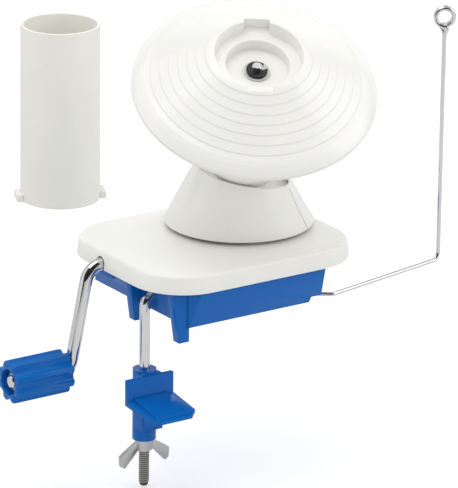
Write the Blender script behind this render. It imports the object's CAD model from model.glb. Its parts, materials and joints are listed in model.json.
"""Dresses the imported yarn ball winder: shells, bars, thread, finishes, studio and camera."""

import json
import math

import bmesh
import bpy
from bpy.props import FloatProperty, FloatVectorProperty, IntProperty, PointerProperty
from mathutils import Matrix, Vector


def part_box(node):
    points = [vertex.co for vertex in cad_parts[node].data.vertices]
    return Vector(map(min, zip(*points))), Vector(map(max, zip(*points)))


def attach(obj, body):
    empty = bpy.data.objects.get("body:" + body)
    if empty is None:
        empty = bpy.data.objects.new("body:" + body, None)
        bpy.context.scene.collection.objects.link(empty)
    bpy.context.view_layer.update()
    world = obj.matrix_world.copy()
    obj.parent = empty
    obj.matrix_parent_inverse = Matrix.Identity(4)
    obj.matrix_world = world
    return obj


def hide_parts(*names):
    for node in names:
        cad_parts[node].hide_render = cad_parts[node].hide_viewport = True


bl_info = {
    "name": "Yarn Ball Winder",
    "version": (1, 0, 0),
    "blender": (4, 5, 0),
    "location": "3D View > Sidebar > Winder",
    "description": "Builds the winder's visible pieces on its packed frame and sets the studio",
    "category": "Object",
}

MM = 0.001
TOUCHING = 1e-7  # points that are this near, in metres, are one
SHARPEST, FLATTEST = math.radians(4), math.radians(176)  # corners beyond these aren't rounded
BEND_STEP = math.radians(9)  # the most that one step along a bent bar turns
Z_AXIS = Vector((0, 0, 1))
LAID_ALONG_X = Matrix.Rotation(math.radians(90), 4, "Y")
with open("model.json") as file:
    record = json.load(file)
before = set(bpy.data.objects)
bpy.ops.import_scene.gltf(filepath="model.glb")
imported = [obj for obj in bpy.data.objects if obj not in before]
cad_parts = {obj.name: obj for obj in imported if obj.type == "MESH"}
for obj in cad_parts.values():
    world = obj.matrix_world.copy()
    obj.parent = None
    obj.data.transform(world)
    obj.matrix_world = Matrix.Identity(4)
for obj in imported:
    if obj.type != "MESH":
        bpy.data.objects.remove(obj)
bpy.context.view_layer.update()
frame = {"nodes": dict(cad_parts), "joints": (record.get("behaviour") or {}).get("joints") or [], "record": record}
JOINTS = {joint["name"]: joint for joint in frame["joints"]}


def length(name, description, millimetres):
    return FloatProperty(name=name, description=description, default=millimetres * MM,
                         unit="LENGTH", precision=5)


def offset(name, description, *millimetres):
    return FloatVectorProperty(name=name, description=description, size=len(millimetres),
                               default=tuple(value * MM for value in millimetres), unit="LENGTH")


def direction(name, description, *value):
    return FloatVectorProperty(name=name, description=description, default=value)


def number(name, description, value):
    return FloatProperty(name=name, description=description, default=value)


def degrees(name, description, value):
    return FloatProperty(name=name, description=description, default=math.radians(value),
                         subtype="ANGLE")


def colour(name, description, value):
    return FloatVectorProperty(name=name, description=description, default=value, size=3,
                               min=0, max=1, subtype="COLOR")


class WinderHeadSizes(bpy.types.PropertyGroup):
    """Disc, tower and yarn tube. Levels of the disc run along its tilted axis from the pivot."""

    disc_radius: length("Disc radius", "Rim of the winding disc", 71.2)
    rim_level: length("Rim level", "Upper edge of the disc's rim", 96.6)
    rim_lip: length("Rim lip", "Height of the disc's rim", 3.2)
    rim_crown: length("Rim crown", "How far the smooth outer band bulges above a cone", 1.0)
    socket_radius: length("Socket radius", "Inside of the socket for the yarn tube", 25.5)
    socket_top: length("Socket top", "Level of the socket's mouth", 124.8)
    socket_depth: length("Socket depth", "From the mouth to the ledge that the tube stands on", 8.8)
    well_radius: length("Well radius", "Inside of the well below the ledge", 18.5)
    well_depth: length("Well depth", "From the ledge to the well's floor", 7.0)
    disc_slope: number("Disc slope", "Fall of each ring of the disc, against its width", 0.46)
    ridge_first: length("First ridge", "Radius of the innermost ridge", 31.0)
    ridge_pitch: length("Ridge pitch", "Distance between ridges", 5.0)
    ridge_rise: length("Ridge height", "Height of one ridge", 0.7)
    ridge_edge: length("Ridge edge", "Width of each ridge's steep side", 0.25)
    ridge_count: IntProperty(name="Ridges", description="Number of ridges on the disc", default=7)
    disc_wall: length("Disc wall", "Thickness of the disc at its edge", 2.6)
    disc_edge: length("Disc edges", "Rounding of the disc's edges", 0.6)
    seat_wall: length("Seat wall", "Thickness of the socket's ledge and of the well", 2.5)
    hub_radius: length("Hub radius", "Outside of the hub under the disc", 25.2)
    hub_low: length("Hub foot", "Level of the hub's lower end", 33.0)
    hub_nose: length("Hub nose", "Length of the hub's tapered end", 11.0)
    hub_nose_radius: length("Hub nose radius", "Outside of the hub's lower end", 20.8)
    hub_wall: length("Hub wall", "Thickness of the hub", 2.2)
    collar_low: length("Collar level", "Where the disc's thick middle begins", 107.0)
    collar_foot: length("Collar foot", "Where that thick middle meets the hub", 103.0)
    slot_reach: length("Slot reach", "Outer end of the two slots for the tube's lugs", 28.9)
    slot_width: length("Slot width", "Width of those slots", 15.0)
    slot_turn: degrees("Slot turn", "Where the slots stand, from the way the disc leans", -5.7)
    bush_radius: length("Bush radius", "Outside of the tower's tilted bush", 6.5)
    bush_top: length("Bush top", "Level of the bush's upper end", 96.5)
    bush_low: length("Bush foot", "Level of the bush's lower end", 11.6)
    bush_edge: length("Bush edges", "Rounding of the bush's ends", 0.5)
    bush_play: length("Bush play", "Room between the bush and the disc", 0.5)
    axle_radius: length("Axle radius", "Radius of the disc's axle", 3.0)
    axle_play: length("Axle play", "Room between the axle and the disc", 0.02)
    tower_foot_radius: length("Tower foot radius", "Outside of the tower at its foot", 44.4)
    tower_foot: length("Tower foot", "Height of the tower's foot above the table", 44.2)
    tower_rim_radius: length("Tower rim radius", "Outside of the tower at its rim", 29.2)
    tower_rim: length("Tower rim", "Height of the middle of the tower's rim", 77.6)
    tower_shift: offset("Tower shift", "Middle of the rim, from the rotor's axis", -5.4, -11.9)
    tower_tilt: degrees("Rim tilt", "Tilt of the tower's rim", 10.6)
    tower_toward: degrees("Rim tilt direction", "The way in which the rim is tilted", -29.0)
    tower_wall: length("Tower wall", "Thickness of the tower", 2.3)
    tower_edge: length("Tower edges", "Rounding of the tower's foot and rim", 0.6)
    tower_recess: length("Tower recess", "Depth of the plate inside the rim", 5.5)
    strip_start: degrees("Strip start", "Where the raised strip on the tower's side starts", -57.5)
    strip_end: degrees("Strip end", "Where that strip ends", -20.0)
    strip_rise: length("Strip height", "How far the strip stands proud of the tower", 0.55)
    tube_wall: length("Tube wall", "Thickness of the yarn tube", 1.9)
    tube_draft: length("Tube draft", "How much the tube narrows to its top", 0.4)
    tube_play: length("Tube play", "Room between the tube and its socket", 0.3)
    tube_edge: length("Tube edges", "Rounding of the tube's ends", 0.45)
    lug_reach: length("Lug reach", "Outer end of the tube's lugs", 28.5)
    lug_width: length("Lug width", "Width of the tube's lugs", 14.2)
    lug_height: length("Lug height", "Height of the tube's lugs", 5.0)
    lug_edge: length("Lug edges", "Rounding of the lugs", 0.7)
    lug_turn: degrees("Lug turn", "Where the lugs stand on the tube", -23.3)


class WinderBaseSizes(bpy.types.PropertyGroup):
    """Cover, crank, guide and clamp. Heights are above the table."""

    cover_round: length("Cover corners", "Radius of the cover's corners at its top", 31.0)
    cover_draft: length("Skirt draft", "How much the cover's skirt spreads to its foot", 1.4)
    cover_edge: length("Cover edge", "Rounding of the cover's top edge", 1.8)
    cover_lip: length("Cover lip", "Rounding of the skirt's lower edge", 0.4)
    cover_wall: length("Cover wall", "Thickness of the cover", 2.0)
    head_hole: length("Head hole", "Radius of the hole under the tower", 24.0)
    slot_play: length("Crank slot play", "Room between the crank and its slot in the cover", 0.8)
    crank_radius: length("Crank radius", "Radius of the crank's bar", 3.8)
    crank_edge: length("Crank ends", "Rounding of the crank's ends", 0.6)
    crank_height: length("Crank height", "Height of the crank's shaft", 34.0)
    crank_drop: length("Crank drop", "From the shaft down to the grip", 61.0)
    crank_elbow: length("Crank elbow", "Where shaft and arm would meet, from the rotor", -105.0)
    crank_wrist: length("Crank wrist", "Where arm and grip pin would meet, from the rotor", -117.6)
    crank_bend: length("Elbow bend", "Bend radius at the elbow", 11.0)
    wrist_bend: length("Wrist bend", "Bend radius at the wrist", 7.5)
    grip_radius: length("Grip radius", "Outside of the grip's lands", 12.8)
    grip_edge: length("Grip edge", "Rounding of the grip's ends", 1.8)
    grip_play: length("Grip play", "Room between the grip and its pin", 0.05)
    grip_mouth: length("Grip mouth", "Radius of the recess at the grip's end", 7.6)
    grip_mouth_depth: length("Grip mouth depth", "Depth of that recess", 5.0)
    grip_mouth_edge: length("Grip mouth edge", "Chamfer round that recess", 0.4)
    grip_flutes: IntProperty(name="Flutes", description="Number of flutes on the grip", default=8)
    flute_radius: length("Flute radius", "Radius of each flute", 4.2)
    flute_depth: length("Flute depth", "Depth of each flute", 2.2)
    flute_edge: length("Flute edges", "Softening where a flute meets a land", 0.4)
    wire_radius: length("Wire radius", "Radius of the yarn guide's wire", 1.25)
    wire_edge: length("Wire ends", "Rounding of the wire's ends", 0.25)
    wire_height: length("Wire height", "Height of the guide's level run", 10.6)
    wire_pin_top: length("Pin top", "Upper end of the guide's pin", 25.6)
    wire_pin_bend: length("Pin bend", "Bend radius below the guide's pin", 1.6)
    wire_bend: length("Knee bend", "Bend radius at the guide's knee", 4.5)
    wire_foot_bend: length("Foot bend", "Bend radius at the foot of the guide's stem", 5.0)
    wire_knee: offset("Guide knee", "Knee of the guide's level run, from its pin", 14.5, -12.4)
    wire_stem: offset("Guide stem", "Foot of the guide's stem, from its pin", 105.4, 6.0)
    eye_height: length("Eye height", "Middle of the guide's eye", 161.6)
    eye_radius: length("Eye radius", "Radius of the eye's turns", 5.4)
    eye_pitch: length("Eye pitch", "Distance from one turn to the next", 2.9)
    eye_turns: IntProperty(name="Eye turns", description="Number of turns in the eye", default=2)
    eye_facing: degrees("Eye facing", "Direction in which the eye looks", -34.4)
    wire_tail: length("Tail end", "Lower end of the wire's tail", 126.4)
    rod_radius: length("Rod radius", "Radius of the clamp rod", 3.175)
    rod_edge: length("Rod end", "Rounding of the rod's upper end", 0.5)
    rod_height: length("Rod height", "Height of the rod's run in the base", 19.0)
    rod_bend: length("Rod bend", "Bend radius of the clamp rod", 7.0)
    thread_top: length("Thread top", "Upper end of the rod's thread", -52.0)
    thread_pitch: length("Thread pitch", "Pitch of the rod's thread", 1.27)
    thread_depth: length("Thread depth", "Depth of the rod's thread", 0.62)
    thread_crest: number("Thread crest", "Width of the thread's crest, against its pitch", 0.28)
    thread_lead: length("Thread lead", "Length of the plain tip below the thread", 1.2)
    edge_round: length("Moulded edges", "Rounding of the small moulded edges", 0.35)


class WinderFinishes(bpy.types.PropertyGroup):
    """Colours of the finishes."""

    white: colour("White plastic", "Cover, tower and disc", (0.925, 0.92, 0.885))
    ivory: colour("Ivory plastic", "Yarn tube", (0.91, 0.90, 0.84))
    blue: colour("Blue plastic", "Tray, grip and jaw", (0.003, 0.135, 0.50))
    chrome: colour("Plated steel", "Crank, guide and rod", (0.78, 0.78, 0.79))
    zinc: colour("Zinc plated steel", "Nuts, washers and screws", (0.68, 0.68, 0.67))
    thread: colour("Thread", "Bare steel of the rod's thread", (0.60, 0.56, 0.50))
    black: colour("Blackened steel", "Retaining clip", (0.03, 0.03, 0.03))
    nylon: colour("Nylon", "Gears", (0.85, 0.84, 0.79))


class WinderStudio(bpy.types.PropertyGroup):
    """Camera and light."""

    camera_place: offset("Camera place", "Where the camera stands", -1348, -2057.5, 887.1)
    camera_right: direction("Camera right", "To the camera's right", 0.8278, -0.5609, 0.0122)
    camera_back: direction("Camera back", "Behind the camera", -0.5343, -0.7816, 0.3219)
    lens: number("Lens", "Focal length on a 36 mm sensor, in millimetres", 353.7)
    sky_level: number("Sky level", "Brightness of the surrounding light", 0.92)
    sky_front: direction("Sky front", "Middle of the sky's flagged side", -0.48, -0.74, 0.47)
    lamp_level: number("Lamp level", "Power of the key lamp in watts", 7.2)
    lamp_aim: offset("Lamp aim", "Point that both lamps face", 70, 30, 70)
    key_place: offset("Key lamp place", "Where the key lamp hangs", -450, 0, 1700)
    key_size: length("Key lamp size", "Width of the key lamp", 1100)
    side_place: offset("Side lamp place", "Where the side lamp stands", 1200, -900, 800)
    side_size: length("Side lamp size", "Width of the side lamp", 900)
    side_share: number("Side lamp share", "Power of the side lamp, against the key lamp", 0.5)
    floor_height: length("Floor height", "Height of the floor", -100.5)
    floor_shade: number("Floor shade", "Grey of the floor", 0.72)
    floor_glow: number("Floor glow", "Light that the floor adds for the camera alone", 0.42)


# Finishes

class Wire:
    """A socket in a node tree that takes part in plain arithmetic."""

    def __init__(self, tree, socket):
        self.tree = tree
        self.socket = socket

    def _math(self, operation, first, second):
        node = self.tree.nodes.new("ShaderNodeMath")
        node.operation = operation
        for place, value in zip(node.inputs, (first, second)):
            if isinstance(value, Wire):
                self.tree.links.new(value.socket, place)
            else:
                place.default_value = value
        return Wire(self.tree, node.outputs[0])

    def __add__(self, other):
        return self._math("ADD", self, other)

    def __rsub__(self, other):
        return self._math("SUBTRACT", other, self)

    def __mul__(self, other):
        return self._math("MULTIPLY", self, other)

    __radd__ = __add__
    __rmul__ = __mul__


class Finish:
    """The node tree of a material or a world in the making."""

    def __init__(self, owner):
        owner.use_nodes = True
        self.owner = owner
        self.tree = owner.node_tree
        self.tree.nodes.clear()

    def node(self, kind, sockets=None, output=0, stops=None, **settings):
        """Add a node, set it up, fill its sockets and return one of its outputs."""
        made = self.tree.nodes.new("ShaderNode" + kind)
        for name, value in settings.items():
            setattr(made, name, value)
        if stops:
            ramp = made.color_ramp.elements
            while len(ramp) < len(stops):
                ramp.new(0.5)
            for element, (place, grey) in zip(ramp, stops):
                element.position = place
                element.color = (grey, grey, grey, 1)
        for name, value in (sockets or {}).items():
            if isinstance(value, Wire):
                self.tree.links.new(value.socket, made.inputs[name])
            else:
                made.inputs[name].default_value = value
        return Wire(self.tree, made.outputs[output]) if made.outputs else None

    def noise(self, size, stretch=(1, 1, 1), detail=2.0, roughness=0.5):
        """Noise whose features are about size metres across, drawn out by stretch."""
        place = self.node("TexCoord", output="Object")
        scale = tuple(1 / (size * share) for share in stretch)
        place = self.node("Mapping", {"Vector": place, "Scale": scale})
        return self.node("TexNoise", {"Vector": place, "Scale": 1.0, "Detail": detail,
                                      "Roughness": roughness})

    def mixed(self, first, second, amount):
        """Go from one colour to another as a wire goes from 0 to 1."""
        return self.node("Mix", {6: first, 7: second, 0: amount}, output=2, data_type="RGBA")

    def tints(self, shade, low, high, amount):
        """Go from one tint of a shade to another as a wire goes from 0 to 1."""
        first, second = ((*(min(1.0, part * factor) for part in shade), 1)
                         for factor in (low, high))
        return self.mixed(first, second, amount)

    def bump(self, height, depth, under=None):
        """Relief of a depth in metres, laid over another relief where one is given."""
        sockets = {"Height": height, "Strength": 1.0, "Distance": depth}
        if under is not None:
            sockets["Normal"] = under
        return self.node("Bump", sockets)

    def close(self, **sockets):
        """End in a Principled shader and hand the material over."""
        named = {name.replace("_", " "): value for name, value in sockets.items()}
        self.node("OutputMaterial", {"Surface": self.node("BsdfPrincipled", named)})
        return self.owner


def started(name):
    """A new material's finish, with nothing in it yet."""
    return Finish(bpy.data.materials.new(name))


def moulded(name, shade, roughness, gloss, shine=0.5):
    """Moulded plastic: faint clouding, flow marks in the gloss and a fine surface grain."""
    finish = started(name)
    cloud = finish.noise(26 * MM, detail=3.0)
    flow = finish.noise(7 * MM, stretch=(3, 3, 0.7))
    ripple = finish.noise(5 * MM, detail=0.0)
    grain = finish.noise(0.45 * MM, detail=1.0)
    return finish.close(Base_Color=finish.tints(shade, 0.965, 1.02, cloud),
                        Roughness=roughness - 0.05 + flow * 0.1,
                        Normal=finish.bump(grain, 0.004 * MM, finish.bump(ripple, 0.035 * MM)),
                        Specular_IOR_Level=shine, IOR=1.49, Coat_Weight=gloss, Coat_Roughness=0.08)


def plated(name, shade, roughness, along):
    """Bright plated bar: drawing lines along it and a faint haze."""
    finish = started(name)
    lines = finish.noise(0.5 * MM, stretch=along)
    haze = finish.noise(12 * MM)
    return finish.close(Base_Color=finish.tints(shade, 0.93, 1.03, haze), Metallic=1.0,
                        Roughness=roughness - 0.02 + haze * 0.05 + lines * 0.03,
                        Normal=finish.bump(lines, 0.0025 * MM))


def zinc(name, shade, roughness):
    """Zinc plate: blotches of brighter and duller crystals over a fine grain."""
    finish = started(name)
    blotch = finish.noise(2.4 * MM, detail=4.0, roughness=0.65)
    return finish.close(Base_Color=finish.tints(shade, 0.82, 1.12, blotch), Metallic=1.0,
                        Roughness=roughness - 0.06 + blotch * 0.16,
                        Normal=finish.bump(finish.noise(0.3 * MM), 0.012 * MM))


def threaded(name, shade, root, crest):
    """Bare steel of a thread round the Z axis: dark oil in the roots, worn bright on the crests."""
    finish = started(name)
    place = finish.node("TexCoord", output="Object")
    flat = finish.node("VectorMath", {0: place, 1: (1, 1, 0)}, operation="MULTIPLY")
    reach = finish.node("VectorMath", {0: flat}, output="Value", operation="LENGTH")
    height = finish.node("MapRange", {"Value": reach, "From Min": root, "From Max": crest})
    worn = height * (0.8 + finish.noise(2 * MM, detail=3.0) * 0.3)
    return finish.close(Base_Color=finish.tints(shade, 0.22, 1.25, worn), Metallic=0.9,
                        Roughness=0.42 - height * 0.12,
                        Normal=finish.bump(finish.noise(0.3 * MM), 0.01 * MM))


def blackened(name, shade):
    """Blackened spring steel, rubbed a little brighter in places."""
    finish = started(name)
    rub = finish.node("ValToRGB", {"Fac": finish.noise(1.2 * MM, detail=3.0)},
                      stops=[(0.5, 0.0), (0.75, 1.0)])
    return finish.close(Base_Color=finish.tints(shade, 1.0, 3.0, rub), Metallic=0.4,
                        Roughness=0.42 - rub * 0.12,
                        Normal=finish.bump(finish.noise(0.25 * MM), 0.01 * MM))


FINISHES = {}


def make_finishes(scene):
    """Every finish once, by slot name, with the thread's bare steel beside them."""
    shades, base = scene.winder_finishes, scene.winder_base
    root = base.rod_radius - base.thread_depth
    return {
        "white_plastic": moulded("winder_white_plastic", shades.white, 0.30, 0.25),
        "ivory_plastic": moulded("winder_ivory_plastic", shades.ivory, 0.36, 0.15),
        "blue_plastic": moulded("winder_blue_plastic", shades.blue, 0.20, 0.0, 0.22),
        "gear_nylon": moulded("winder_gear_nylon", shades.nylon, 0.46, 0.0),
        "chrome_steel": plated("winder_chrome_steel", shades.chrome, 0.08, (1, 1, 40)),
        "zinc_steel": zinc("winder_zinc_steel", shades.zinc, 0.34),
        "black_steel": blackened("winder_black_steel", shades.black),
        "thread_steel": threaded("winder_thread_steel", shades.thread, root, base.rod_radius),
    }


def finish_named(name):
    """A finish by its slot's name, all of them made when the first is asked for."""
    if not FINISHES:
        FINISHES.update(make_finishes(bpy.context.scene))
    return FINISHES[name]


# Shapes

def rounded(corners, radius, steps=4, closed=True, share=0.42):
    """An outline of 2D corners with arcs that take no more than a share of each side."""
    points = [Vector(corner) for corner in corners]
    made = []
    for index, corner in enumerate(points):
        before = points[index - 1] - corner
        after = points[(index + 1) % len(points)] - corner
        opening = before.angle(after, 0)
        loose_end = not closed and index in (0, len(points) - 1)
        if loose_end or not SHARPEST < opening < FLATTEST:
            made.append(corner)
            continue
        reach = min(radius / math.tan(opening / 2), share * before.length, share * after.length)
        before.normalize()
        after.normalize()
        start = corner + before * reach
        end = corner + after * reach
        middle = corner + (before + after).normalized() * (reach / math.cos(opening / 2))
        arm = start - middle
        for step in range(steps + 1):
            way = arm.normalized().slerp((end - middle).normalized(), step / steps)
            made.append(middle + way * arm.length)
    return made


def lathe(bm, outline, steps, place=Matrix.Identity(4), closed=True):
    """Spin an outline of radius and height points about the place's own Z axis."""
    before = set(bm.verts)
    verts = [bm.verts.new((radius, 0, level)) for radius, level in outline]
    pairs = list(zip(verts, verts[1:]))
    if closed:
        pairs.append((verts[-1], verts[0]))
    edges = [bm.edges.new(pair) for pair in pairs]
    bmesh.ops.spin(bm, geom=verts + edges, cent=(0, 0, 0), axis=Z_AXIS, angle=2 * math.pi,
                   steps=steps, use_merge=True, use_duplicate=False)
    made = [vert for vert in bm.verts if vert not in before]
    bmesh.ops.remove_doubles(bm, verts=made, dist=TOUCHING)
    made = [vert for vert in bm.verts if vert not in before]
    bmesh.ops.transform(bm, matrix=place, verts=made)


def skin(bm, rings, cap_first=False, cap_last=False):
    """Join rings of equally many vertices, and close the ends that are asked for."""
    for low, high in zip(rings, rings[1:]):
        for index in range(len(low)):
            bm.faces.new((low[index - 1], low[index], high[index], high[index - 1]))
    for wanted, ring in ((cap_first, rings[0]), (cap_last, rings[-1])):
        if wanted:
            bm.faces.new(ring)


def circle(bm, radius, place, sides=128):
    made = bmesh.ops.create_circle(bm, cap_ends=False, radius=radius, segments=sides, matrix=place)
    return list(made["verts"])


def edges_of(verts):
    """The edges at some vertices, once each and in the same order on every run."""
    return list(dict.fromkeys(edge for vert in verts for edge in vert.link_edges))


def verts_of(edges):
    """The vertices of some edges, once each and in the same order on every run."""
    return list(dict.fromkeys(vert for edge in edges for vert in edge.verts))


def edges_in(geom):
    return [item for item in geom if isinstance(item, bmesh.types.BMEdge)]


def slab_ring(bm, middle, half_long, half_wide, radius, level, steps=20):
    """A level rectangle with round corners, as a row of vertices."""
    signs = ((-1, -1), (1, -1), (1, 1), (-1, 1))
    known = set(bm.faces)
    face = bm.faces.new([bm.verts.new((middle.x + half_long * x, middle.y + half_wide * y, level))
                         for x, y in signs])
    bmesh.ops.bevel(bm, geom=list(face.verts), offset=radius, offset_type="OFFSET",
                    segments=steps, profile=0.5, affect="VERTICES", material=-1)
    face = [item for item in bm.faces if item not in known][0]
    verts = list(face.verts)
    bmesh.ops.delete(bm, geom=[face], context="FACES_ONLY")
    return verts


def block(bm, low, high, place=Matrix.Identity(4)):
    """A box between two corners in the place's own frame."""
    low, high = Vector(low), Vector(high)
    fit = Matrix.Translation((low + high) / 2) @ Matrix.Diagonal((*(high - low), 1))
    return bmesh.ops.create_cube(bm, size=1, matrix=place @ fit)["verts"]


def pin(bm, radius, low, high, place, sides):
    """A plain round bar between two levels in the place's own frame."""
    middle = Matrix.Translation((0, 0, (low + high) / 2))
    bmesh.ops.create_cone(bm, cap_ends=True, radius1=radius, radius2=radius, depth=high - low,
                          segments=sides, matrix=place @ middle)


def rounded_edges(bm, edges, radius, segments):
    """Round some of a mesh's edges."""
    bmesh.ops.bevel(bm, geom=edges, offset=radius, offset_type="OFFSET", segments=segments,
                    profile=0.5, affect="EDGES", clamp_overlap=True, material=-1)


def carve(bm, make, *size):
    """Take the volume of a shape out of a mesh, and return the result as a new mesh."""
    cutter = bmesh.new()
    make(cutter, *size)
    objects = []
    for name, shape in (("whole", bm), ("cutter", cutter)):
        bmesh.ops.recalc_face_normals(shape, faces=shape.faces)
        mesh = bpy.data.meshes.new(name)
        shape.to_mesh(mesh)
        shape.free()
        objects.append(bpy.data.objects.new(name, mesh))
        bpy.context.scene.collection.objects.link(objects[-1])
    cut = objects[0].modifiers.new("cut", "BOOLEAN")
    cut.operation = "DIFFERENCE"
    cut.solver = "EXACT"
    cut.object = objects[1]
    ready = objects[0].evaluated_get(bpy.context.evaluated_depsgraph_get())
    made = bmesh.new()
    made.from_mesh(bpy.data.meshes.new_from_object(ready))
    for item in objects:
        bpy.data.objects.remove(item)
    return made


def biarc_middle(start, way, end, end_way):
    """Where two arcs of equal reach meet between two headed points."""
    across = end - start
    pull = across.dot(way + end_way)
    bend = 2 * (1 - way.dot(end_way))
    if bend < 1e-9:
        reach = across.length_squared / (2 * pull)
    else:
        reach = (math.sqrt(pull * pull + bend * across.length_squared) - pull) / bend
    return (start + end + (way - end_way) * reach) / 2


def arc_on(bm, loop, start, way, end):
    """Carry a loop of edges along one arc or straight run, and return its new edges and heading."""
    across = end - start
    side = across - way * across.dot(way)
    geom = verts_of(loop) + loop
    if side.length < 1e-4 * across.length:
        made = bmesh.ops.extrude_edge_only(bm, edges=loop)["geom"]
        moved = [item for item in made if isinstance(item, bmesh.types.BMVert)]
        bmesh.ops.translate(bm, vec=across, verts=moved)
        return [edge for edge in edges_in(made)
                if not any(vert in geom for vert in edge.verts)], way
    outward = side.normalized()
    angle = 2 * math.atan2(across.dot(outward), across.dot(way))
    axis = way.cross(outward)
    middle = start + outward * (across.length_squared / (2 * across.dot(outward)))
    steps = max(2, math.ceil(angle / BEND_STEP))
    made = bmesh.ops.spin(bm, geom=geom, cent=middle, axis=axis, angle=angle, steps=steps,
                          use_merge=False, use_duplicate=False)["geom_last"]
    return edges_in(made), Matrix.Rotation(angle, 3, axis) @ way


def bar(bm, radius, knots, sides, end_round):
    """A round bar through headed points, with its ends closed and a little rounded."""
    start, way = knots[0]
    place = Matrix.Translation(start) @ way.to_track_quat("Z", "Y").to_matrix().to_4x4()
    before = set(bm.verts)
    loop = edges_of(circle(bm, radius - end_round, place, sides))
    bmesh.ops.edgeloop_fill(bm, edges=loop)
    loop = swell(bm, loop, start, way, end_round, radius / (radius - end_round))
    start = start + way * end_round
    for end, end_way in knots[1:]:
        for knot in (biarc_middle(start, way, end, end_way), end):
            if (knot - start).length > TOUCHING:
                loop, way = arc_on(bm, loop, start, way, knot)
                start = knot
        way = end_way
    loop = swell(bm, loop, start, way, end_round, (radius - end_round) / radius)
    bmesh.ops.edgeloop_fill(bm, edges=loop)
    made = [vert for vert in bm.verts if vert not in before]
    bmesh.ops.remove_doubles(bm, verts=made, dist=TOUCHING)


def swell(bm, loop, start, way, reach, factor):
    """Carry a loop a short way on and change its radius."""
    loop, way = arc_on(bm, loop, start, way, start + way * reach)
    about = Matrix.Translation(-(start + way * reach))
    bmesh.ops.scale(bm, vec=(factor,) * 3, space=about, verts=verts_of(loop))
    return loop


def bend_knots(corners, bends):
    """Headed points of a bar that runs straight between corners and bends at each inner one."""
    ways = [(after - before).normalized() for before, after in zip(corners, corners[1:])]
    knots = [(corners[0], ways[0])]
    for corner, radius, before, after in zip(corners[1:], bends, ways, ways[1:]):
        reach = radius * math.tan(before.angle(after) / 2)
        knots += [(corner - before * reach, before), (corner + after * reach, after)]
    return knots + [(corners[-1], ways[-1])]


def piece(name, bm, body, slot, nodes=(), finish=None, sharp=34):
    """Make a mesh a named piece that rides on a body and stands for CAD nodes."""
    bmesh.ops.recalc_face_normals(bm, faces=bm.faces)
    mesh = bpy.data.meshes.new(name)
    bm.to_mesh(mesh)
    bm.free()
    mesh.shade_smooth()
    mesh.set_sharp_from_angle(angle=math.radians(sharp))
    made = bpy.data.objects.new(name, mesh)
    bpy.context.scene.collection.objects.link(made)
    mesh.materials.append(finish_named(finish or slot))
    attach(made, body)
    if nodes:
        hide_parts(*nodes)


def eased_copy(node, radius):
    """A merged copy of a CAD node with its flats joined and its long sharp edges rounded."""
    weld, flat = 0.002 * MM, math.radians(0.6)
    long, sharp = 1.2 * MM, math.radians(50)
    bm = bmesh.new()
    bm.from_mesh(frame["nodes"][node].data)
    bmesh.ops.remove_doubles(bm, verts=bm.verts, dist=weld)
    bmesh.ops.dissolve_limit(bm, angle_limit=flat, verts=bm.verts, edges=bm.edges,
                             use_dissolve_boundaries=False, delimit=set())
    edges = [edge for edge in bm.edges if edge.is_manifold and edge.calc_length() > long
             and edge.calc_face_angle() > sharp]
    rounded_edges(bm, edges, radius, segments=2)
    return bm


# Places

def rotor_place():
    """The rotor's upright axis, with its origin on the table."""
    low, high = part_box("centre_post")
    return Matrix.Translation(((low.x + high.x) / 2, (low.y + high.y) / 2, 0))


def disc_place():
    """The tilted axis, with the pivot as its origin."""
    joint = JOINTS["disc_spin"]
    lean = Z_AXIS.rotation_difference(Vector(joint["axis"])).to_matrix().to_4x4()
    return Matrix.Translation(joint["pos_m"]) @ lean


def spot(x, y, z):
    """A point measured from the rotor's axis on the table."""
    return rotor_place() @ Vector((x, y, z))


# Pieces

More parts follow.
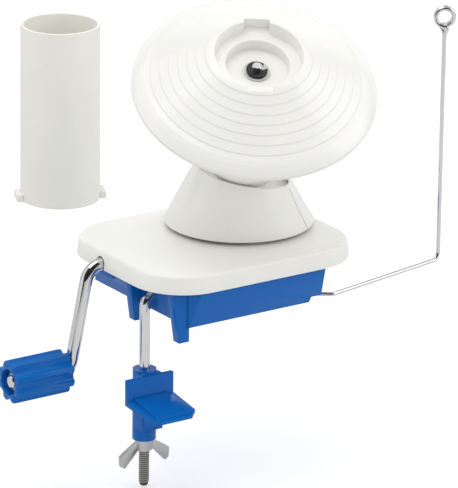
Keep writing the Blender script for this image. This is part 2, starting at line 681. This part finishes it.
class WINDER_OT_disc(bpy.types.Operator):
    """Make the ridged winding disc with its socket, slots and hub"""

    bl_idname = "winder.disc"
    bl_label = "Winding disc"

    def execute(self, context):
        s = context.scene.winder_head
        ledge = s.socket_top - s.socket_depth
        bm = bmesh.new()
        lathe(bm, rounded(self.section(s, ledge), s.disc_edge, steps=3), 168)
        axis = JOINTS["disc_spin"]["axis"]
        around = Matrix.Rotation(math.atan2(axis[1], axis[0]) + s.slot_turn, 4, "Z")
        above_ledge, past_mouth = 0.02 * MM, 5 * MM
        bm = carve(bm, block, (-s.slot_reach, -s.slot_width / 2, ledge + above_ledge),
                   (s.slot_reach, s.slot_width / 2, s.socket_top + past_mouth), around)
        bmesh.ops.transform(bm, matrix=disc_place(), verts=bm.verts)
        piece("disc_shell", bm, "spool", "white_plastic", ["winding_disc"], sharp=40)
        return {"FINISHED"}

    def section(self, s, ledge):
        """Half of the disc's section: out over the ridges, back below them, down and up the hub."""
        ridges = []
        for index in range(s.ridge_count):
            radius = s.ridge_first + index * s.ridge_pitch
            level = s.socket_top - (radius - s.socket_radius) * s.disc_slope - index * s.ridge_rise
            ridges += [(radius - s.ridge_edge, level), (radius, level - s.ridge_rise)]
        last_radius, last_level = ridges[-1]
        crown = []
        for part in (0.3, 0.55, 0.78):
            radius = last_radius + (s.disc_radius - last_radius) * part
            level = last_level + (s.rim_level - last_level) * part
            crown.append((radius, level + s.rim_crown * 4 * part * (1 - part)))
        below = s.socket_top - (s.ridge_first - s.socket_radius) * s.disc_slope - 2 * s.disc_wall
        bore = s.hub_radius - s.hub_wall
        shoulder = s.hub_low + s.hub_nose
        well = ledge - s.well_depth
        wall = s.seat_wall
        bush, bush_end = s.bush_radius + s.bush_play, s.bush_top + s.bush_play
        axle = s.axle_radius + s.axle_play
        return [
            (s.socket_radius, s.socket_top), *ridges, *crown,
            (s.disc_radius, s.rim_level), (s.disc_radius, s.rim_level - s.rim_lip),
            (last_radius, last_level - s.disc_wall), (s.ridge_first, below),
            (s.ridge_first, s.collar_low), (s.hub_radius, s.collar_foot),
            (s.hub_radius, shoulder), (s.hub_nose_radius, s.hub_low),
            (s.hub_nose_radius - s.hub_wall, s.hub_low), (bore, shoulder),
            (bore, ledge - wall), (s.well_radius + wall, ledge - wall),
            (s.well_radius + wall, well - wall), (bush, well - wall), (bush, bush_end),
            (axle, bush_end), (axle, well), (s.well_radius, well), (s.well_radius, ledge),
            (s.socket_radius, ledge)]


class WINDER_OT_tower(bpy.types.Operator):
    """Make the leaning tower with its rim, recess, raised strip and tilted bush"""

    bl_idname = "winder.tower"
    bl_label = "Tower"

    def execute(self, context):
        s = context.scene.winder_head
        across = Vector((-math.sin(s.tower_toward), math.cos(s.tower_toward), 0))
        foot = Vector((0, 0, s.tower_foot))
        rim = Vector((*s.tower_shift, s.tower_rim))
        bm = bmesh.new()

        def section(part):
            """The radius and the place of the tower's section, part of the way up."""
            radius = s.tower_foot_radius + (s.tower_rim_radius - s.tower_foot_radius) * part
            tilt = Matrix.Rotation(s.tower_tilt * part, 4, across)
            return radius, Matrix.Translation(foot.lerp(rim, part)) @ tilt

        def ring(part, inset):
            """The tower's section part of the way up, drawn in by inset."""
            radius, lie = section(part)
            return circle(bm, radius - inset, lie)

        def strip(part, rise):
            """The section of the raised strip on the tower's side, part of the way up."""
            radius, lie = section(part)
            steps = 12
            turns = [s.strip_start + (s.strip_end - s.strip_start) * step / steps
                     for step in range(steps + 1)]
            path = [(radius + rise, turn) for turn in turns]
            path += [(radius - 0.3 * s.tower_wall, turn) for turn in reversed(turns)]
            return [bm.verts.new(lie @ Vector((reach * math.cos(turn), reach * math.sin(turn), 0)))
                    for reach, turn in path]

        slant = (rim - foot).length
        edge, wall = s.tower_edge, s.tower_wall
        bevel = edge / slant
        recess = 1 - s.tower_recess / slant
        rings = [ring(part, inset) for part, inset in (
            (0, edge), (0.25 * bevel, 0.3 * edge), (bevel, 0), (0.25, 0), (0.5, 0), (0.75, 0),
            (1 - bevel, 0), (1 - 0.3 * bevel, 0.3 * edge), (1, edge), (1, wall - edge),
            (1 - bevel, wall), (recess, wall))]
        skin(bm, rings, cap_last=True)
        skin(bm, [rings[0], ring(0, wall), ring(recess - wall / slant, wall)], cap_last=True)
        skin(bm, [strip(part, share * s.strip_rise) for part, share in (
            (0.03, 0.5), (0.04, 1), (0.35, 1), (0.65, 1), (0.95, 1), (0.96, 0.5))],
             cap_first=True, cap_last=True)
        bmesh.ops.transform(bm, matrix=rotor_place(), verts=bm.verts)
        bush = [(s.axle_radius, s.bush_low), (s.bush_radius, s.bush_low),
                (s.bush_radius, s.bush_top), (s.axle_radius, s.bush_top)]
        lathe(bm, rounded(bush, s.bush_edge), 48, disc_place())
        piece("tower_shell", bm, "rotor", "white_plastic", ["rotor_tower"])
        return {"FINISHED"}


class WINDER_OT_cover(bpy.types.Operator):
    """Make the white cover with its drafted skirt, head hole and crank slot"""

    bl_idname = "winder.cover"
    bl_label = "Cover"

    def execute(self, context):
        s = context.scene.winder_base
        low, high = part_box("top_cover")
        middle = (low + high) / 2
        top = high.z
        skirt = high.z - low.z
        half_long = (high.x - low.x) / 2 - s.cover_draft
        half_wide = (high.y - low.y) / 2 - s.cover_draft
        bm = bmesh.new()

        def ring(depth, inset):
            """The cover's section some way below its top, drawn in by inset."""
            grown = s.cover_draft * depth / skirt - inset
            return slab_ring(bm, middle, half_long + grown, half_wide + grown,
                             s.cover_round + grown, top - depth)

        edge, lip, wall = s.cover_edge, s.cover_lip, s.cover_wall
        outside = [ring(skirt, lip), ring(skirt - 0.3 * lip, 0.3 * lip), ring(skirt - lip, 0)]
        for turn in range(0, 91, 15):
            angle = math.radians(turn)
            outside.append(ring(edge * (1 - math.sin(angle)), edge * (1 - math.cos(angle))))
        skin(bm, outside, cap_last=True)
        skin(bm, [outside[0], ring(skirt, wall), ring(wall, wall)], cap_last=True)
        bm = carve(bm, pin, s.head_hole, top - 3 * wall, top + wall, rotor_place(), 96)
        past = 1 * MM
        slot = s.crank_radius + s.slot_play
        reach = 3 * wall + 2 * s.cover_draft
        axis = spot(0, 0, s.crank_height)
        end = Vector((low.x - past, axis.y, axis.z))
        bm = carve(bm, pin, slot, 0, reach, Matrix.Translation(end) @ LAID_ALONG_X, 48)
        bm = carve(bm, block, (end.x, end.y - slot, low.z - past),
                   (end.x + reach, end.y + slot, end.z))
        piece("cover_shell", bm, "frame", "white_plastic", ["top_cover"])
        return {"FINISHED"}


class WINDER_OT_tray(bpy.types.Operator):
    """Make the blue tray and the rod's bridge with softened edges"""

    bl_idname = "winder.tray"
    bl_label = "Tray"

    def execute(self, context):
        edge = context.scene.winder_base.edge_round
        for name, node in (("tray_shell", "base_tray"), ("bridge_block", "rod_keeper")):
            piece(name, eased_copy(node, edge), "frame", "blue_plastic", [node])
        return {"FINISHED"}


class WINDER_OT_crank(bpy.types.Operator):
    """Make the bent crank and its fluted grip"""

    bl_idname = "winder.crank"
    bl_label = "Crank and grip"

    def execute(self, context):
        s = context.scene.winder_base
        low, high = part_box("crank_rod")
        rotor_x = rotor_place().translation.x
        shaft, pin_level = s.crank_height, s.crank_height - s.crank_drop
        corners = [spot(high.x - rotor_x, 0, shaft), spot(s.crank_elbow, 0, shaft),
                   spot(s.crank_wrist, 0, pin_level), spot(low.x - rotor_x, 0, pin_level)]
        bm = bmesh.new()
        bar(bm, s.crank_radius, bend_knots(corners, [s.crank_bend, s.wrist_bend]), 40, s.crank_edge)
        piece("crank_bar", bm, "crank", "chrome_steel", ["crank_rod"])
        self.grip(s)
        return {"FINISHED"}

    def grip(self, s):
        """Make the grip's barrel round the Z axis, then lay it on the crank's pin."""
        low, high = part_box("crank_grip")
        middle = (low + high) / 2
        long = high.x - low.x
        radius = s.grip_radius
        sides = 24 * s.grip_flutes
        pitch = 2 * math.pi / s.grip_flutes
        centre = radius + s.flute_radius - s.flute_depth
        bm = bmesh.new()

        def plain(level, reach):
            """A round ring of the grip's bore or of its recess."""
            return circle(bm, reach, Matrix.Translation((0, 0, level)), sides)

        def fluted(level, inset):
            """A ring of the barrel, each of its points drawn in to the nearest flute."""
            ring = plain(level, radius)
            for vert in ring:
                turn = math.atan2(vert.co.y, vert.co.x)
                off = abs((turn + pitch / 2) % pitch - pitch / 2)
                within = max(0.0, s.flute_radius ** 2 - (centre * math.sin(off)) ** 2)
                sunk = radius - centre * math.cos(off) + math.sqrt(within)
                sunk = (sunk + math.sqrt(sunk ** 2 + s.flute_edge ** 2)) / 2
                factor = (radius - sunk - inset) / radius
                vert.co.x *= factor
                vert.co.y *= factor
            return ring

        edge, mouth, mouth_edge = s.grip_edge, s.grip_mouth, s.grip_mouth_edge
        end = [(plain, s.grip_mouth_depth, s.crank_radius + s.grip_play),
               (plain, s.grip_mouth_depth, mouth), (plain, mouth_edge, mouth),
               (plain, 0, mouth + mouth_edge), (fluted, 0, edge), (fluted, 0.12 * edge, 0.7 * edge),
               (fluted, 0.4 * edge, 0.25 * edge), (fluted, edge, 0)]
        rings = [ring(level, size) for ring, level, size in end] + [fluted(long / 2, 0)]
        rings += [ring(long - level, size) for ring, level, size in reversed(end)]
        skin(bm, rings + rings[:1])
        bmesh.ops.remove_doubles(bm, verts=bm.verts, dist=TOUCHING)
        place = Matrix.Translation((low.x, middle.y, middle.z)) @ LAID_ALONG_X
        bmesh.ops.transform(bm, matrix=place, verts=bm.verts)
        piece("grip_barrel", bm, "grip", "blue_plastic", ["crank_grip"])


class WINDER_OT_guide(bpy.types.Operator):
    """Make the yarn guide's wire with its double eye"""

    bl_idname = "winder.guide"
    bl_label = "Yarn guide"

    def execute(self, context):
        s = context.scene.winder_base
        joint = Vector(JOINTS["guide_swing"]["pos_m"])
        pin_foot = Vector((joint.x, joint.y, s.wire_height))
        pin_top = Vector((joint.x, joint.y, s.wire_pin_top))
        knee = pin_foot + Vector((*s.wire_knee, 0))
        stem_foot = pin_foot + Vector((*s.wire_stem, 0))
        eye = Vector((stem_foot.x, stem_foot.y, s.eye_height))
        neck = 2.2 * s.eye_radius
        stem_top = eye - Z_AXIS * neck
        knots = bend_knots([pin_top, pin_foot, knee, stem_foot, stem_top],
                           [s.wire_pin_bend, s.wire_bend, s.wire_foot_bend])
        across = Vector((math.cos(s.eye_facing), math.sin(s.eye_facing), 0))
        toward = Vector((across.y, -across.x, 0))
        whole = 2 * math.pi * s.eye_turns
        climb = toward * s.eye_pitch * s.eye_turns
        quarters = 4 * s.eye_turns
        for index in range(quarters + 1):
            part = index / quarters
            sine, cosine = math.sin(whole * part), math.cos(whole * part)
            point = eye + (across * sine - Z_AXIS * cosine) * s.eye_radius + climb * (part - 0.5)
            heading = (across * cosine + Z_AXIS * sine) * whole * s.eye_radius + climb
            knots.append((point, heading.normalized()))
        tail = stem_top + toward * s.eye_pitch
        knots += [(tail, -Z_AXIS), (Vector((tail.x, tail.y, s.wire_tail)), -Z_AXIS)]
        bm = bmesh.new()
        bar(bm, s.wire_radius, knots, 20, s.wire_edge)
        piece("guide_bar", bm, "guide", "chrome_steel", ["guide_wire"])
        return {"FINISHED"}


class WINDER_OT_clamp(bpy.types.Operator):
    """Make the clamp's rod with its thread, the jaw and the wing nut"""

    bl_idname = "winder.clamp"
    bl_label = "Clamp"

    def execute(self, context):
        s = context.scene.winder_base
        low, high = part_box("clamp_rod")
        corners = [Vector(corner) for corner in (
            (high.x, 0, s.rod_height), (0, 0, s.rod_height), (0, 0, s.thread_top))]
        bm = bmesh.new()
        bar(bm, s.rod_radius, bend_knots(corners, [s.rod_bend]), 40, s.rod_edge)
        piece("rod_bar", bm, "frame", "chrome_steel", ["clamp_rod"])
        self.thread(s, low.z)
        jaw = eased_copy("clamp_jaw", s.edge_round)
        piece("jaw_body", jaw, "jaw", "blue_plastic", ["clamp_jaw"])
        wings = eased_copy("wing_nut", 0.5 * s.edge_round)
        piece("wing_body", wings, "nut", "zinc_steel", ["wing_nut"])
        return {"FINISHED"}

    def thread(self, s, foot):
        """Make the rod's threaded end: a tooth spun upwards turn after turn on a round core."""
        pitch = s.thread_pitch
        root = s.rod_radius - s.thread_depth
        sunk = root - 0.3 * MM
        half_crest, half_foot = s.thread_crest / 2, 0.46
        steps = 24
        start = foot + s.thread_lead
        turns = int((s.thread_top - start) / pitch)
        bm = bmesh.new()
        tooth = [(sunk, 0.5 - half_foot), (s.rod_radius, 0.5 - half_crest),
                 (s.rod_radius, 0.5 + half_crest), (sunk, 0.5 + half_foot)]
        verts = [bm.verts.new((radius, 0, start + share * pitch)) for radius, share in tooth]
        edges = [bm.edges.new(pair) for pair in zip(verts, verts[1:] + verts[:1])]
        made = bmesh.ops.spin(bm, geom=verts + edges, cent=(0, 0, 0), axis=Z_AXIS,
                              angle=2 * math.pi * turns, steps=steps * turns,
                              dvec=(0, 0, pitch / steps), use_merge=False, use_duplicate=False)
        for loop in (edges, edges_in(made["geom_last"])):
            bmesh.ops.edgeloop_fill(bm, edges=loop)
        tip_wide, tip_high, tip_round = 0.5 * MM, 0.9 * MM, 0.3 * MM
        top = s.thread_top + pitch
        core = [(0, foot), (root - tip_wide, foot), (root, foot + tip_high), (root, top), (0, top)]
        lathe(bm, rounded(core, tip_round, closed=False), 48, closed=False)
        piece("rod_thread", bm, "frame", "chrome_steel", finish="thread_steel", sharp=25)


class WINDER_OT_tube(bpy.types.Operator):
    """Make the yarn tube with its lugs"""

    bl_idname = "winder.tube"
    bl_label = "Yarn tube"

    def execute(self, context):
        s = context.scene.winder_head
        low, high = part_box("yarn_tube")
        middle = (low + high) / 2
        turned = Matrix.Rotation(s.lug_turn, 4, "Z")
        place = Matrix.Translation((middle.x, middle.y, low.z)) @ turned
        long = high.z - low.z
        wall = s.tube_wall
        radius = s.socket_radius - s.tube_play
        top = radius - s.tube_draft
        bm = bmesh.new()
        sleeve = [(radius - wall, 0), (radius, 0), (top, long), (top - wall, long)]
        lathe(bm, rounded(sleeve, s.tube_edge), 144, place)
        half = s.lug_width / 2
        for way in (1, -1):
            near, far = sorted((way * (radius - wall / 2), way * s.lug_reach))
            lug = block(bm, (near, -half, 0), (far, half, s.lug_height), place)
            rounded_edges(bm, edges_of(lug), s.lug_edge, segments=3)
        piece("tube_sleeve", bm, "frame", "ivory_plastic", ["yarn_tube"])
        return {"FINISHED"}


class WINDER_OT_finishes(bpy.types.Operator):
    """Give each CAD node its own finish"""

    bl_idname = "winder.finishes"
    bl_label = "Finishes"

    def execute(self, context):
        for part in frame["record"]["subparts"]:
            mesh = frame["nodes"][part["node"]].data
            mesh.materials.clear()
            mesh.materials.append(finish_named(part["material_slot"]))
        return {"FINISHED"}


class WINDER_OT_studio(bpy.types.Operator):
    """Set the floor, the surrounding light, the lamps and the camera"""

    bl_idname = "winder.studio"
    bl_label = "Studio"

    def execute(self, context):
        scene = context.scene
        s = scene.winder_studio
        self.floor(scene, s)
        self.sky(scene, s)
        self.lamp(scene, s, "key_lamp", s.key_place, s.key_size, 1.0)
        self.lamp(scene, s, "side_lamp", s.side_place, s.side_size, s.side_share)
        self.camera(scene, s)
        scene.view_settings.view_transform = "Standard"
        return {"FINISHED"}

    def floor(self, scene, s):
        """Make the floor, whose glow only the camera sees."""
        bm = bmesh.new()
        bmesh.ops.create_grid(bm, x_segments=1, y_segments=1, size=6,
                              matrix=Matrix.Translation((0, 0, s.floor_height)))
        mesh = bpy.data.meshes.new("studio_floor")
        bm.to_mesh(mesh)
        bm.free()
        floor = bpy.data.objects.new("studio_floor", mesh)
        scene.collection.objects.link(floor)
        finish = started("studio_white")
        seen = finish.node("LightPath", output="Is Camera Ray")
        paper = finish.node("BsdfDiffuse", {"Color": (*(s.floor_shade,) * 3, 1)})
        glow = finish.node("Emission", {"Color": (1, 1, 1, 1), "Strength": seen * s.floor_glow})
        finish.node("OutputMaterial", {"Surface": finish.node("AddShader", {0: paper, 1: glow})})
        mesh.materials.append(finish.owner)

    def sky(self, scene, s):
        """White light all round, with dark bands in reflections so that bright bars show edges."""
        world = bpy.data.worlds.new("studio_sky")
        finish = Finish(world)
        way = finish.node("TexCoord", output="Generated")
        front = finish.node("VectorMath", {0: way, 1: s.sky_front}, output="Value",
                            operation="DOT_PRODUCT")
        soft = finish.node("ValToRGB", {"Fac": front}, stops=[(0.0, 1.0), (1.0, 0.8)])
        flagged = finish.node("ValToRGB", {"Fac": front * 0.5 + 0.5}, stops=[
            (0.0, 1.0), (0.28, 1.0), (0.32, 0.02), (0.41, 0.02),
            (0.45, 0.95), (0.74, 1.0), (0.82, 0.04), (1.0, 0.02)])
        gloss = finish.node("LightPath", output="Is Glossy Ray")
        light = finish.node("Background", {"Color": finish.mixed(soft, flagged, gloss),
                                           "Strength": s.sky_level})
        finish.node("OutputWorld", {"Surface": light})
        scene.world = world

    def lamp(self, scene, s, name, place, size, share):
        """Stand a square lamp with a share of the key lamp's power, facing the winder."""
        data = bpy.data.lights.new(name, "AREA")
        data.shape = "SQUARE"
        data.size = size
        data.energy = s.lamp_level * share
        lamp = bpy.data.objects.new(name, data)
        lamp.location = place
        facing = Vector(s.lamp_aim) - Vector(place)
        lamp.rotation_euler = facing.to_track_quat("-Z", "Y").to_euler()
        scene.collection.objects.link(lamp)

    def camera(self, scene, s):
        """Stand the camera where the photograph was taken from."""
        right, back = Vector(s.camera_right).normalized(), Vector(s.camera_back).normalized()
        up = back.cross(right).normalized()
        turned = Matrix((up.cross(back), up, back)).transposed().to_4x4()
        data = bpy.data.cameras.new("view_camera")
        data.sensor_fit = "HORIZONTAL"
        data.sensor_width = 36.0
        data.lens = s.lens
        data.clip_end = 50
        camera = bpy.data.objects.new("view_camera", data)
        camera.matrix_world = Matrix.Translation(s.camera_place) @ turned
        scene.collection.objects.link(camera)
        scene.camera = camera


OPERATORS = (WINDER_OT_disc, WINDER_OT_tower, WINDER_OT_cover, WINDER_OT_tray, WINDER_OT_crank,
             WINDER_OT_guide, WINDER_OT_clamp, WINDER_OT_tube, WINDER_OT_finishes, WINDER_OT_studio)
GROUPS = {"winder_head": WinderHeadSizes, "winder_base": WinderBaseSizes,
          "winder_finishes": WinderFinishes, "winder_studio": WinderStudio}


class WINDER_PT_panel(bpy.types.Panel):
    """Buttons for the winder's pieces, with their sizes and colours"""

    bl_idname = "WINDER_PT_panel"
    bl_label = "Yarn ball winder"
    bl_space_type = "VIEW_3D"
    bl_region_type = "UI"
    bl_category = "Winder"

    def draw(self, context):
        for operator in OPERATORS:
            self.layout.operator(operator.bl_idname)
        for name in GROUPS:
            box = self.layout.box()
            group = getattr(context.scene, name)
            for size in group.bl_rna.properties.keys():
                if size not in ("rna_type", "name"):
                    box.prop(group, size)


CLASSES = (*GROUPS.values(), *OPERATORS, WINDER_PT_panel)


def register():
    for item in CLASSES:
        bpy.utils.register_class(item)
    for name, group in GROUPS.items():
        setattr(bpy.types.Scene, name, PointerProperty(type=group))


def unregister():
    for name in GROUPS:
        delattr(bpy.types.Scene, name)
    for item in reversed(CLASSES):
        bpy.utils.unregister_class(item)


def main():
    """Build everything in order."""
    register()
    for operator in OPERATORS:
        group, name = operator.bl_idname.split(".")
        getattr(getattr(bpy.ops, group), name)()


if __name__ == "__main__":
    main()
